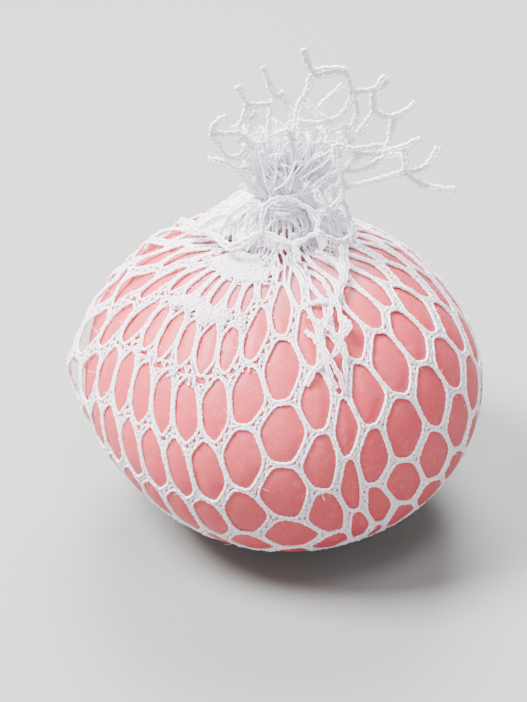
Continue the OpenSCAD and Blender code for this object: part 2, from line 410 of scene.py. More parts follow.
around_steps, up_steps = COLUMNS * 12, 214
columns = np.arange(FIRST_COLUMN, FIRST_COLUMN + COLUMNS).astype(float)
u_grid = np.linspace(FIRST_COLUMN, FIRST_COLUMN + COLUMNS, around_steps, endpoint=False)[None, :]
s_skin = skin_outline["s"]
s_grid = np.linspace(s_skin[0] + 0.4, s_skin[-1], up_steps)[:, None]
v_grid = (s_grid - ROW_ZERO_S) / ROW - row_shift(u_grid)
azimuth_grid, _ = net_place(u_grid, v_grid)
r_here = np.interp(s_grid, s_skin, skin_outline["r"])
column_here = np.gradient(column_azimuth(u_grid[0])) / (u_grid[0, 1] - u_grid[0, 0])
column_here = np.radians(column_here)[None, :] * r_here
wall = wall_distance(u_grid, v_grid, column_here)
under_net = smooth_step(s_grid, S_LOW + 6, S_LOW + 14) * (1 - smooth_step(s_grid, 34, 42))
swell = 0.4 * (1 - np.exp(-((wall / 1.5) ** 2))) * under_net
pleats = 0.3 * np.sin(np.radians(17 * azimuth_grid)) * smooth_step(s_grid, 34, 46)
loose = -1.3 * hump(azimuth_grid, s_grid, (-92, 2), (13, 9))
lift = SKIN_LIFT * smooth_step(s_grid, S_LOW, S_LOW + 10) * (1 - 0.6 * smooth_step(s_grid, 38, 46))
points, _ = on_ball(skin_outline, azimuth_grid, s_grid, lift + swell + pleats + loose)
points = points.reshape(-1, 3)
ring = np.arange(around_steps)
beside = np.roll(ring, -1)
low = np.arange(up_steps - 1)[:, None] * around_steps
high = low + around_steps
quads = np.stack([low + ring, low + beside, high + beside, high + ring], -1).reshape(-1, 4)
last = (up_steps - 1) * around_steps
poles = len(points) + np.zeros_like(ring)
low_pole, high_pole = [poles, beside, ring], [poles + 1, last + ring, last + beside]
triangles = np.concatenate([np.stack(low_pole, -1), np.stack(high_pole, -1)])
points = np.concatenate([points, [[0, 0, FLAT_Z], [0, 0, points[last:, 2].mean()]]])
balloon = make_piece("balloon_with_dough", points, quads, triangles, latex)
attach(balloon, "ball")
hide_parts("balloon_skin", "filling")
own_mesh(balloon)

# ---- Net sleeve ----
# A tube of elastic net, knitted in white cotton over rubber thread. Each cell has its own rim of
# yarn; rims lie side by side in the walls and are laced together, thickly in the walls that
# slant one way. It is stretched over the ball and held by the ties at both ends.
yarn, shader = new_material("knitted_cotton_and_elastic_yarn")
# Soft spun cotton: white with a cold tint, no gloss, twisted fibres at about 0.35 mm and fluff, with grey-lavender
# painted shade in the fluff's hollows.
along = add_node(yarn, "ShaderNodeUVMap", uv_map="along_yarn").outputs[0]
place = add_node(yarn, "ShaderNodeTexCoord").outputs["Object"]
height = add_node(yarn, "ShaderNodeSeparateXYZ", {"Vector": place}).outputs["Z"]
fluff = noise(yarn, place, 2600.0, 3.0)


def bands(material, direction, values):
    """Wavy bands from 0 to 1 across or along a yarn."""
    return add_node(material, "ShaderNodeTexWave", values, bands_direction=direction).outputs["Fac"]


fibres = bands(
    yarn,
    "DIAGONAL",
    {"Vector": along, "Scale": 900.0, "Distortion": 2.5, "Detail": 2.0, "Detail Scale": 1.5},
)
twisted = add_node(yarn, "ShaderNodeMath", {0: fibres, 1: fluff}, operation="ADD").outputs[0]
# Painted pink bounce light: yarn on the balloon is tinted pink as if lit by the latex behind it; the free net is a cold
# white
OFF_THE_BALL = (0.048, 0.06)
painted_pink_bounce = mixed(yarn, ranged(yarn, height, OFF_THE_BALL, (0.0, 1.0)), "#FFDDEC", "#F0F5FF")
toned = mixed(yarn, noise(yarn, place, 130.0, 2.0), painted_pink_bounce, "#FFF7FD")
# Painted shade: grey-lavender where the fluff bump is lowest, standing for shade in its hollows
hollow_shaded = mixed(yarn, ranged(yarn, fluff, (0.3, 0.45), (0.35, 0.0)), toned, "#CFC8D6")
# Painted shade: grey-violet dashes once in each stitch of about 1 mm stand for the shade in the gaps between stitches,
# stronger on the ball than off it
stitch_bands = bands(
    yarn,
    "X",
    {"Vector": along, "Scale": 310.0, "Distortion": 4.0, "Detail": 2.0, "Detail Scale": 2.0},
)
gap_shade_share = ranged(yarn, height, OFF_THE_BALL, (0.5, 0.12), label="share of painted gap shade")
painted_gap_shade = ranged(yarn, stitch_bands, (0.72, 0.98), (0.0, gap_shade_share))
set_inputs(
    yarn,
    shader,
    {
        "Base Color": mixed(yarn, painted_gap_shade, hollow_shaded, "#B3ABC2"),
        "Roughness": 0.86,
        "Normal": bumped(yarn, twisted, 0.5),
        "Sheen Weight": 0.25,
        "Sheen Roughness": 0.5,
        "Subsurface Weight": 0.35,
        "Subsurface Radius": (1.0, 0.9, 0.95),
        "Subsurface Scale": 0.0012,
    },
)
# The lacing lies deeper in the walls: the same yarn with more of the painted stitch shade, a greyer violet
shaded_inner_yarn = yarn.copy()
shaded_inner_yarn.name = "knitted_elastic_inner_stitches_painted_shade"
for node in shaded_inner_yarn.node_tree.nodes:
    if node.label == "share of painted gap shade":
        node.inputs["To Min"].default_value = 0.85
        node.inputs["To Max"].default_value = 0.6


def rounded_line(points, count, closed):
    """A smooth line near control points: a uniform cubic B-spline, sampled count times."""
    n = points.shape[1]
    if closed:
        at = np.arange(count) * n / count
        index = np.floor(at).astype(int)
    else:
        # Doubled end points keep the line's ends where the first and last points are
        points = np.concatenate(
            [2 * points[:, :1] - points[:, 1:2], points, 2 * points[:, -1:] - points[:, -2:-1]], 1
        )
        at = np.linspace(0, n - 1, count)
        index = np.minimum(np.floor(at).astype(int), n - 2)
    f = (at - index)[None, :, None]
    p = [points[:, (index + k - 1) % n] if closed else points[:, index + k] for k in range(4)]
    weights = [(1 - f) ** 3, 3 * f**3 - 6 * f**2 + 4, -3 * f**3 + 3 * f**2 + 3 * f + 1, f**3]
    return sum(w * q for w, q in zip(weights, p)) / 6


PLY_PITCH, PLY_DEPTH = 1.3, 0.16
STITCH_PITCH, STITCH_DEPTH = 0.95, 0.15
TIP_LENGTH = 0.6


def yarn_piece(name, groups, material=yarn):
    """Many yarns as one mesh. A group is (lines, outward directions, radius, sides, closed).
    Each yarn is a tube whose section has two plies that turn as it goes on, and a stitch bump."""
    all_points, all_quads, all_places, tip_places = [], [], [], []
    all_triangles, base = [no_triangles], 0
    for lines, outward, radius, sides, closed in groups:
        count, rings = lines.shape[:2]
        ahead, behind = np.roll(lines, -1, 1), np.roll(lines, 1, 1)
        if not closed:
            ahead[:, -1], behind[:, 0] = lines[:, -1], lines[:, 0]
        tangent = unit(ahead - behind)
        side = unit(np.cross(tangent, outward))
        over = np.cross(side, tangent)
        along = np.cumsum(np.linalg.norm(lines - behind, axis=-1), 1)
        travelled = TURN * (along + np.arange(count)[:, None] * 1.7)[..., None]
        angle = TURN * np.arange(sides) / sides
        plies = PLY_DEPTH * np.cos(2 * angle - travelled / PLY_PITCH)
        size = radius * (1 + plies + STITCH_DEPTH * np.sin(travelled / STITCH_PITCH))
        points = lines[:, :, None] + size[..., None] * (
            np.cos(angle)[:, None] * side[:, :, None] + np.sin(angle)[:, None] * over[:, :, None]
        )
        index = base + np.arange(count * rings * sides).reshape(count, rings, sides)
        base += count * rings * sides
        now, after = index, np.roll(index, -1, 1)
        length = along[:, :, None] * np.ones(sides)
        length_after = np.roll(length, -1, 1)
        if closed:
            length_after[:, -1] = length[:, -1] + 0.3
        else:
            now, after, length, length_after = (x[:, :-1] for x in (now, after, length, length_after))
        quads = np.stack([now, after, np.roll(after, -1, 2), np.roll(now, -1, 2)], -1)
        across = np.arange(sides) * 0.25 * np.ones_like(length)
        far = across + 0.25
        places = [(length, across), (length_after, across), (length_after, far), (length, far)]
        all_points.append(points.reshape(-1, 3))
        all_quads.append(quads.reshape(-1, 4))
        all_places.append(np.stack([np.stack(place, -1) for place in places], -2).reshape(-1, 2))
        if closed:
            continue
        for end, forward in ((0, -1), (-1, 1)):
            reach = size[:, end].mean(-1, keepdims=True) * TIP_LENGTH * forward
            all_points.append(lines[:, end] + tangent[:, end] * reach)
            tip = base + np.arange(count)[:, None] * np.ones(sides, int)
            edge = index[:, end]
            beside = np.roll(edge, -1, 1)
            corners = [tip, edge, beside] if end == 0 else [tip, beside, edge]
            all_triangles.append(np.stack(corners, -1).reshape(-1, 3))
            tip_places.append(np.zeros((count * sides * 3, 2)))
            base += count
    places = np.concatenate(all_places + tip_places)
    points, quads = np.concatenate(all_points), np.concatenate(all_quads)
    return make_piece(name, points, quads, np.concatenate(all_triangles), material, places)


def on_ball_net(*pieces):
    """Pieces of net that lie on the ball: each is hung from the ball's body and gets its own mesh."""
    for piece in pieces:
        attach(piece, "ball")
        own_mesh(piece)


def gathered(azimuth, s):
    """How tightly the net is bunched, from 0: most at the upper left, some at the upper right."""
    return (
        1.0 * hump(azimuth, s, (-38, 27), (30, 15))
        + 0.8 * hump(azimuth, s, (-48, 39), (26, 6))
        + 0.55 * hump(azimuth, s, (-80, 16), (28, 18))
        + 0.45 * hump(azimuth, s, (85, 18), (26, 20))
        + 0.3 * hump(azimuth, s, (180, 24), (70, 16))
    )


def yarn_lift(azimuth, s):
    """How far the net's yarn lies outside the outline: more where it stands off at the left, and
    in a slack ridge at each row on the upper left."""
    ridge = 0.5 + 0.5 * np.sin(2 * math.pi * s / ROW + np.radians(3 * azimuth))
    slack = 1.3 * hump(azimuth, s, (-112, 24), (34, 15)) * ridge
    return YARN_LIFT + 2.3 * hump(azimuth, s, (-93, 2), (13, 8)) + slack


CELL_U = np.array([0.3, 0.7, 0.3, -0.3, -0.7, -0.3])
CELL_V = np.array([0.5, 0.0, -0.5, -0.5, 0.0, 0.5])
# Sides between those corners: upper right, lower right, bottom, lower left, upper left, top
THICK_SIDE = np.array([0, 1, 0, 0, 1, 0])
# How much each side thickens where the net is bunched: the short slanting ones and the rungs
BUNCHED_SIDE = np.array([0.0, 1.3, 2.6, 0.0, 1.3, 2.6])
THIN_INSET = 0.21
THICK_INSET = 0.55
TOP_CELLS, LOW_CELLS = 41.0, -36.0

column_all, row_all = np.meshgrid(columns, np.arange(-12, 12), indexing="ij")
row_all = row_all + (column_all % 2) / 2
s_all = ROW_ZERO_S + ROW * (row_all + row_shift(column_all))
inside = (s_all > LOW_CELLS) & (s_all < TOP_CELLS)
cell_u, cell_v = column_all[inside], row_all[inside]


def inset_corners(x, y, inset):
    """Corners of a cell whose sides have moved in: each new corner is where two moved sides
    cross. A side moves at most a third of its distance from the middle."""
    x2, y2 = np.roll(x, -1, 1), np.roll(y, -1, 1)
    dx, dy = x2 - x, y2 - y
    size = np.maximum(np.hypot(dx, dy), 1e-6)
    # Corners run clockwise, so the inner side of a side is to its right
    nx, ny = dy / size, -dx / size
    depth = -(nx * x + ny * y)
    move = np.minimum(inset, 0.33 * np.abs(depth))
    offset = nx * x + ny * y + move
    nx0, ny0, offset0 = np.roll(nx, 1, 1), np.roll(ny, 1, 1), np.roll(offset, 1, 1)
    det = nx0 * ny - nx * ny0
    det = np.where(np.abs(det) < 0.12, np.where(det < 0, -0.12, 0.12), det)
    return (offset0 * ny - offset * ny0) / det, (nx0 * offset - nx * offset0) / det


corner_azimuth, corner_s = net_place(cell_u[:, None] + CELL_U, cell_v[:, None] + CELL_V)
mid_azimuth, mid_s = corner_azimuth.mean(1, keepdims=True), corner_s.mean(1, keepdims=True)
mid_r = sleeve_r(mid_s) + YARN_LIFT
corner_x = np.radians(corner_azimuth - mid_azimuth) * mid_r
corner_y = corner_s - mid_s
bunching = gathered(mid_azimuth, mid_s)
inset = np.where(THICK_SIDE == 1, THICK_INSET, THIN_INSET) * (1 + BUNCHED_SIDE * bunching)
inner_x, inner_y = inset_corners(corner_x, corner_y, inset)
inner = np.stack([inner_x, inner_y], -1)
# Control points of the rim: each corner and the middle of each side
control = np.stack([inner, (inner + np.roll(inner, -1, 1)) / 2], 2).reshape(len(cell_u), 12, 2)
RIM_RINGS = 100
rim = rounded_line(control, RIM_RINGS, True)
rim_azimuth = mid_azimuth + np.degrees(rim[..., 0] / mid_r)
rim_s = mid_s + rim[..., 1]
wander = 0.09 * np.sin(2.1 * rim[..., 0] + 3 * mid_azimuth) * np.cos(1.7 * rim[..., 1] + mid_s)
rim_lift = yarn_lift(rim_azimuth, rim_s) + wander
rim_points, rim_out = on_ball(sleeve_outline, rim_azimuth, rim_s, rim_lift)

# Each cell owns its top, upper-right and lower-right walls, so each wall is laced once
wall_from = np.stack([corner_x[:, [5, 0, 1]], corner_y[:, [5, 0, 1]]], -1)
wall_to = np.stack([corner_x[:, [0, 1, 2]], corner_y[:, [0, 1, 2]]], -1)
wall_thick = np.array([0, 0, 1])
LACE_STEPS = 40
t = np.linspace(0.02, 0.98, LACE_STEPS)
span = wall_to - wall_from
wall_length = np.linalg.norm(span, axis=-1)
across = unit(np.stack([-span[..., 1], span[..., 0]], -1))


def lacing(reach, pitch, start, low):
    """Thread along each wall: a sine across the wall, faded at both ends, low below the rims."""
    phase = TURN * wall_length[..., None] * t / pitch + start
    swing = reach * np.sin(phase) * np.sin(math.pi * t) ** 0.3
    flat = wall_from[:, :, None] + span[:, :, None] * t[:, None]
    flat = flat + swing[..., None] * across[:, :, None]
    azimuth = mid_azimuth[:, :, None] + np.degrees(flat[..., 0] / mid_r[:, :, None])
    s = mid_s[:, :, None] + flat[..., 1]
    lift = yarn_lift(azimuth, s) + 0.12 * np.cos(phase) - low
    return on_ball(sleeve_outline, azimuth, s, lift)


reach = np.where(wall_thick == 1, 0.5, 0.16) * (1 + bunching)
start_at = (7.3 * cell_u + 3.1 * cell_v)[:, None, None]
laces = [
    (*lacing(reach[..., None], 1.9, start_at, 0.0), 0.17),
    (*lacing(reach[..., None] * 0.3, 2.6, start_at + 2.0, 0.12), 0.27),
]
sectors = {"front": (-45, 45), "right": (45, 135), "back": (135, 225), "left": (225, 315)}
around = (mid_azimuth[:, 0] + 45) % 360 - 45
# Relaxed, a column is narrower and the tube longer than on the ball
for name, (first, beyond) in sectors.items():
    mine = (around >= first) & (around < beyond)
    rims = yarn_piece("net_sleeve_rims_" + name, [(rim_points[mine], rim_out[mine], YARN_R, 8, True)])
    lace_groups = [
        (*(part[mine].reshape(-1, LACE_STEPS, 3) for part in (points, outward)), radius, 5, False)
        for points, outward, radius in laces
    ]
    laced = yarn_piece("net_sleeve_lacing_" + name, lace_groups, shaded_inner_yarn)
    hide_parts("net_sleeve")
    on_ball_net(rims, laced)


# The sleeve's ends: above and below the last whole cells its yarns run straight into the ties.
chance = np.random.default_rng(7)


def runs_to_tie(edge, row_side, s_to, rings):
    """Yarns from the outer corners of each column's last cell straight up or down the side to
    s_to, with a slow sideways wave, a little lift, and ends that start on the net."""
    column = np.repeat(columns, 2)
    azimuth, s = net_place(column + np.tile([-0.3, 0.3], COLUMNS), np.repeat(edge, 2) + row_side)
    t = np.linspace(0, 1, rings)
    s = s[:, None] + (s_to - s)[:, None] * t
    wave = 0.5 * np.sin(TURN * (1.2 * t + chance.random((len(column), 1)))) * np.sqrt(t)
    azimuth = azimuth[:, None] + np.degrees(wave / (sleeve_r(s) + 1))
    lift = 0.1 + 0.35 * np.sin(TURN * (t + chance.random((len(column), 1)))) * t
    lift = YARN_LIFT + lift * (1 - 0.6 * (s < -30))
    return on_ball(sleeve_outline, azimuth, s, lift)


top_row = np.array([cell_v[cell_u == u].max() for u in columns])
low_row = np.array([cell_v[cell_u == u].min() for u in columns])
neck_runs = runs_to_tie(top_row, 0.5, S_HIGH - 0.3, 40)
crown_yarns = yarn_piece("net_sleeve_gathers_at_neck", [(*neck_runs, 0.27, 6, False)])
foot_runs = runs_to_tie(low_row, -0.5, S_LOW + 0.8, 36)
foot_yarns = yarn_piece("net_sleeve_gathers_at_foot", [(*foot_runs, 0.25, 6, False)])
on_ball_net(crown_yarns, foot_yarns)

# Bunched stitches: where the net is tightest its slack loops lie over one another, under the hem
# and on the rungs between the narrow cells at the upper left.
by_tie, on_rungs = 250, 170
rung_azimuth, rung_s = net_place(cell_u, cell_v + 0.5)
rung_azimuth = (rung_azimuth + 180) % 360 - 180
likely = hump(rung_azimuth, rung_s, (-40, 27), (20, 8)) ** 2
chosen = chance.choice(len(rung_s), on_rungs, p=likely / likely.sum())
loop_azimuth = np.concatenate([-36 + 15 * chance.normal(size=by_tie), rung_azimuth[chosen]])
loop_s = np.concatenate([37.8 + 4.4 * chance.random(by_tie), rung_s[chosen]])
loop_azimuth = (loop_azimuth + 1.6 * chance.normal(size=len(loop_s)))[:, None]
loop_s = (loop_s + 0.5 * chance.normal(size=len(loop_s)))[:, None]
bow = np.linspace(-0.2, 1.2, 15)[None, :] * math.pi
spin = 0.9 * chance.normal(size=loop_s.shape)
wide, tall = 0.6 * np.cos(bow), 1.0 * np.sin(bow)
across_loop = wide * np.cos(spin) - tall * np.sin(spin)
up_loop = wide * np.sin(spin) + tall * np.cos(spin)
stitch_azimuth = loop_azimuth + np.degrees(across_loop / (sleeve_r(loop_s) + 1))
stitch_lift = YARN_LIFT + 0.1 + 0.4 * chance.random(loop_s.shape) + 0.16 * np.cos(3 * bow)
loops = on_ball(sleeve_outline, stitch_azimuth, loop_s + up_loop, stitch_lift)
on_ball_net(yarn_piece("net_sleeve_bunched_stitches", [(*loops, 0.19, 5, False)]))

# Loose fibres: curved hairs of cotton that stand off the yarns, most where the net is bunched
count = 3600
cell_at = chance.integers(0, len(rim_points), count)
ring_at = chance.integers(0, RIM_RINGS, count)
root, away = rim_points[cell_at, ring_at], rim_out[cell_at, ring_at]
crowded = gathered(rim_azimuth[cell_at, ring_at], rim_s[cell_at, ring_at])
kept = (chance.random(count) < 0.08 + 1.2 * crowded) & (root[:, 2] > 8)
root, away = root[kept], away[kept]
lean = unit(chance.normal(size=root.shape) + 0.8 * away)
bend = unit(chance.normal(size=root.shape))
size = 0.35 + 0.8 * chance.random((len(root), 1))
t = np.linspace(0, 1, 7)[None, :, None]
hairs = root[:, None] + (size * lean)[:, None] * t + (1.1 * size * bend)[:, None] * t * t
raised = ((hairs - root[:, None]) * away[:, None]).sum(-1, keepdims=True)
hairs = hairs + np.maximum(0, 0.25 - raised) * away[:, None] * t
on_ball_net(yarn_piece("net_sleeve_loose_fibres", [(hairs, away[:, None], 0.04, 3, False)]))

# ---- Thread button under the ball ----
# The tube's lower end is drawn together and bound with waxed cotton thread, wound flat into a
# small button that the ball rests on.
thread, shader = new_material("waxed_twisted_cotton_thread")
# Three-ply sewing thread, 0.9 mm: greyer and a little glossier than the net, plies at 1.2 mm.
along = add_node(thread, "ShaderNodeUVMap", uv_map="along_yarn").outputs[0]
plies = bands(thread, "DIAGONAL", {"Vector": along, "Scale": 260.0, "Distortion": 0.6})
# Painted shade: the grooves between the plies, where the bump is low, are coloured a darker grey than the plies' crowns
ply_groove_shaded = mixed(thread, plies, "#C9C5D0", "#E9E6EE")
ply_bump = bumped(thread, plies, 0.6, 0.00012)
set_inputs(thread, shader, {"Base Color": ply_groove_shaded, "Roughness": 0.6, "Normal": ply_bump})
THREAD_R = 0.44
t = np.linspace(0, 1, 520)
turns = 5.2 * TURN * t
coil = about_axis(0.5 + (BUTTON_R - 0.95) * t, turns, THREAD_R + 0.22 + 0.06 * np.sin(9 * turns))
share = np.linspace(0, 1, 5)
cross_turns = np.radians([15, 75, 135, 195, 255, 315])[:, None]
cross_stitches = about_axis(0.6 + 3.6 * share, cross_turns, 0.62 + 0.35 * np.sin(math.pi * share))
cross_stitches = rounded_line(cross_stitches, 24, False)
UPWARD = np.array([0.0, 0.0, 1.0])
button = yarn_piece(
    "base_tie_button",
    [(coil[None], UPWARD, THREAD_R, 8, False), (cross_stitches, UPWARD, 0.28, 6, False)],
    thread,
)
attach(button, "ball")
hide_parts("base_tie")

# ---- Knot and tail of the balloon ----
# The balloon's neck is tied in a plain overhand knot; its rolled lip stands up inside the net's
# bunch. Where the latex is pulled tight it has ripples like a screw's.
TIE_Z = KNOT_HIGH[2]
KNOT_R = KNOT_HIGH[0]
TAIL_LOW, TAIL_HIGH = (np.array(corner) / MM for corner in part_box("balloon_tail"))


def revolved(name, r, z, ripple, turns, material):
    """A closed skin turned round Z from a closed outline; ripples run round it like screw lines."""
    rows, cols = len(r), 96
    angle = TURN * np.arange(cols) / cols
    swell = ripple * np.sin(turns * angle[None, :] + TURN * np.arange(rows)[:, None] / rows)
    far = np.maximum(r[:, None] + swell, 0.05)
    points = about_axis(far, angle, z[:, None] + 0.5 * swell).reshape(-1, 3)
    index = np.arange(rows * cols).reshape(rows, cols)
    after = np.roll(index, -1, 0)
    quads = np.stack([index, np.roll(index, -1, 1), np.roll(after, -1, 1), after], -1)
    return make_piece(name, points, quads.reshape(-1, 4), no_triangles, material)


turn = np.linspace(0, TURN, 40, endpoint=False)
knot_mid = (KNOT_LOW[2] + KNOT_HIGH[2]) / 2
knot_r, knot_z = KNOT_R - 2.1 + 1.8 * np.cos(turn), knot_mid + 1.85 * np.sin(turn)
knot = revolved("balloon_knot_ring", knot_r, knot_z, 0.28, 3, latex)
tail_mid, tail_half = (TAIL_LOW[2] + TAIL_HIGH[2]) / 2, (TAIL_HIGH[2] - TAIL_LOW[2]) / 2
lip = 0.35 * smooth_step(np.sin(turn), 0.3, 1.0)
tail_r, tail_z = TAIL_HIGH[0] - 0.6 + 0.3 * np.cos(turn) + lip, tail_mid + (tail_half - 0.1) * np.sin(turn)
tail = revolved("balloon_tail_lip", tail_r, tail_z, 0.07, 5, latex)
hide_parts("balloon_knot")
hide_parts("balloon_tail")
for piece in (knot, tail):
    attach(piece, "crown")

# ---- Bunch and upper tie ----
# Above the knot the tube is drawn together into a bunch of some fifty yarns and bound with
# four turns of the same thread, knotted in front with two short ends.
BUNCH_HIGH = np.array(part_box("net_bunch")[1]) / MM
BUNCH_R, BUNCH_TOP = BUNCH_HIGH[0], BUNCH_HIGH[2]
count = 52
spot = np.sqrt((np.arange(count) + 0.5) / count) * (BUNCH_R - 1.9 - 0.3) + 1.9
turn = 2.39996 * np.arange(count)
t = np.linspace(0, 1, 26)
spread = 1 + 0.5 * np.abs(2 * t - 1) ** 3
twist = turn[:, None] + 0.5 * t
bunch_lines = np.stack(
    [
        spot[:, None] * spread * np.sin(twist),
        -spot[:, None] * spread * np.cos(twist),
        TIE_Z - 1.0 + (BUNCH_TOP - TIE_Z + 1.8) * t + 0 * twist,
    ],
    -1,
)
radial = unit(bunch_lines * np.array([1, 1, 0]))
# Where the tube comes up over the knot to the tie, leaving a gap or two between its yarns
count = 58
t = np.linspace(0, 1, 18)
azimuth = 360 * (np.arange(count)[:, None] + 0.7 * chance.random((count, 1))) / count
azimuth = np.radians(azimuth + 14 * (chance.random((count, 1)) - 0.5) * t)
over_r = np.interp(t, [0, 0.25, 0.6, 1], [5.6, 5.3, 5.0, 3.9]) + 0.3 * chance.random((count, 1))
over_z = np.interp(t, [0, 0.25, 0.6, 1], [KNOT_LOW[2] - 0.4, KNOT_LOW[2] + 0.8, KNOT_HIGH[2] - 0.6, TIE_Z + 0.9])
over_lines = np.stack([over_r * np.sin(azimuth), -over_r * np.cos(azimuth), over_z + 0 * azimuth], -1)
over_out = unit(over_lines * np.array([1, 1, 0]) + np.array([0, 0, 0.01]))
bunch = yarn_piece(
    "net_bunch_yarns", [(bunch_lines, radial, 0.3, 6, False), (over_lines, over_out, 0.27, 6, False)]
)
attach(bunch, "crown")
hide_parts("net_bunch")

t = np.linspace(0, 1, 420)
turns = 4.1 * 2 * math.pi * t
wind_r = BUNCH_R + THREAD_R - 0.05 + 0.06 * np.sin(7 * turns)
winding = np.stack(
    [wind_r * np.sin(turns), -wind_r * np.cos(turns), TIE_Z + THREAD_R + 3.2 * t], -1
)
front = np.array([0.4, -(BUNCH_R + 1.1), TIE_Z + 2.0])
loops = []
for side in (-1, 1):
    loops.append(
        front
        + np.array(
            [[0, 0.3, -0.9], [side * 1.3, -0.2, -0.6], [side * 1.5, -0.6, 0.6],
             [0, -0.7, 0.4], [-side * 1.2, -0.3, -0.5], [-side * 2.4, -0.9, -1.6], [-side * 3.2, -0.6, -3.0]]
        )
    )
loops = rounded_line(np.array(loops), 50, False)
tie = yarn_piece(
    "neck_tie_windings",
    [
        (winding[None], unit(winding * np.array([1, 1, 0]))[None], THREAD_R, 8, False),
        (loops, np.array([0.0, -1.0, 0.2]) + 0 * loops, 0.34, 7, False),
    ],
    thread,
)
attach(tie, "crown")
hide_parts("neck_tie")
# The bunch's top, from which the collar and tuft are placed; the bunch and the tie each get their own mesh
TOP = np.array([0, 0, BUNCH_TOP])
for piece in (bunch, tie):
    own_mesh(piece)

# ---- Collar ----
# Part of the tube above the tie is folded back down over the shoulder. Its cut hem hangs free:
# one open cell in front of the tie, crumpled folds on the left and behind.
def net_walls(walls, outward, gap, radius, nearer=(0, 0, 0)):
    """Walls of net between points in millimetres from the bunch's top. Each wall is two rims of
    yarn, gap to either side of a smooth line, with a thread laced between them. Nearer moves
    them all."""
    groups = []
    for wall in walls:
        wall = np.array(wall, float) + nearer
        size = np.linalg.norm(np.diff(wall, axis=0), axis=1).sum()
        rings = max(8, int(size / 0.26))
        line = rounded_line((wall + TOP)[None], rings, False)[0]
        tangent = unit(np.gradient(line, axis=0))
        side = unit(np.cross(tangent, outward))
        t = np.linspace(0, 1, rings)[:, None]
        open_it = gap * (0.75 + 0.35 * np.cos(5 * t + 9 * wall[0, 0]))
        phase = 2 * math.pi * size * t / 1.9 + 5 * wall[0, 2]
        over = unit(np.cross(side, tangent))
        wander = 0.1 * np.sin(3.1 * size * t + 2 * wall[0, 1])
        for shift, lift, thick in (
            (open_it + wander, 0, radius),
            (-open_it + wander, 0, radius),
            (0.9 * open_it * np.sin(phase), 0.12 * np.cos(phase), 0.62 * radius),
        ):
            rim = line + shift * side + lift * over
            groups.append((rim[None], (np.asarray(outward, float) + 0 * rim)[None], thick, 7, False))
    return groups


FRONT = (0.0, -1.0, 0.35)
front_cell = [
    [(-3.2, -7.0, -4.2), (-3.3, -6.6, -1.6), (-3.0, -5.8, 0.4), (-1.4, -5.2, 1.2)],
    [(-1.4, -5.2, 1.2), (0.7, -4.6, 1.6), (3.0, -4.8, 0.8), (6.2, -5.4, -1.4)],
    [(6.2, -5.4, -1.4), (6.7, -6.2, -2.8), (6.4, -7.0, -4.2)],
    [(6.4, -7.0, -4.2), (4.4, -7.8, -5.2), (2.4, -8.2, -5.9)],
    [(2.4, -8.2, -5.9), (-0.4, -7.8, -5.2), (-3.2, -7.0, -4.2)],
]
hem = [
    [(-3.2, -7.0, -4.2), (-4.8, -7.0, -5.0), (-6.1, -6.7, -6.2), (-7.8, -6.2, -7.6), (-9.2, -5.6, -8.3)],
    [(-9.2, -5.6, -8.3), (-10.4, -4.2, -8.0), (-11.2, -2.6, -8.0), (-13.0, 0.0, -8.4), (-14.2, 0.8, -9.0)],
    [(-14.2, 0.8, -9.0), (-15.6, 1.4, -9.2), (-17.0, 3.4, -8.6), (-18.0, 5.0, -8.4)],
    [(6.4, -7.0, -4.2), (8.4, -6.8, -5.6), (10.9, -6.0, -7.0), (12.0, -4.0, -7.6)],
    [(12.0, -4.0, -7.6), (12.6, -1.6, -7.4), (12.0, 0.6, -6.8)],
    [(2.4, -8.2, -5.9), (2.8, -8.8, -7.4), (3.0, -9.6, -8.8)],
]
behind_front = [
    [(-3.0, -5.8, 0.4), (-4.6, -4.6, 0.6), (-6.0, -3.4, -0.6), (-9.4, -2.4, -3.2), (-11.2, -2.6, -8.0)],
    [(-6.1, -6.7, -6.2), (-6.4, -5.4, -3.6), (-5.4, -4.4, -0.8), (-4.0, -3.6, 0.8)],
    [(6.2, -5.4, -1.4), (7.6, -4.4, -1.0), (9.2, -3.2, -2.4), (12.0, -1.6, -7.2)],
    [(9.2, -3.2, -2.4), (9.6, -1.6, 0.6), (9.4, 0.0, 3.2)],
    [(12.6, -1.6, -7.4), (12.2, 1.6, -4.6), (10.6, 2.2, -1.8), (9.2, -3.2, -2.4)],
    [(-9.4, -2.4, -3.2), (-12.0, -0.4, -5.0), (-15.6, 1.4, -9.2)],
]


def collar_reach(azimuth):
    """How far the hem reaches from the axis: least in front, most at the left and behind."""
    at = [-180, -130, -110, -98, -90, -74, -58, -45, -26, 0, 30, 60, 88, 120, 150, 180]
    reach = [15, 17.5, 17.3, 14.8, 12.6, 10.6, 9.2, 8.0, 7.6, 7.4, 8.2, 10.2, 12.3, 15, 16.5, 15]
    return np.interp((azimuth + 180) % 360 - 180, at, reach)


def collar_place(azimuth, share, lift):
    """A point of the fold: from the tie's top outwards and down onto the shoulder."""
    reach = collar_reach(azimuth)
    r = 3.9 + (reach - 3.9) * share
    x = np.clip((reach + 1 - NECK_R) / (BALL_R - NECK_R), 0, 1)
    hem_z = RING_Z + CROWN_H * np.sqrt(1 - x * x) + 2.6 - BUNCH_TOP
    z = -0.2 + (hem_z + 0.2) * share**1.15 + lift
    a = np.radians(azimuth)
    return np.stack([r * np.sin(a), -r * np.cos(a), z], -1) + TOP


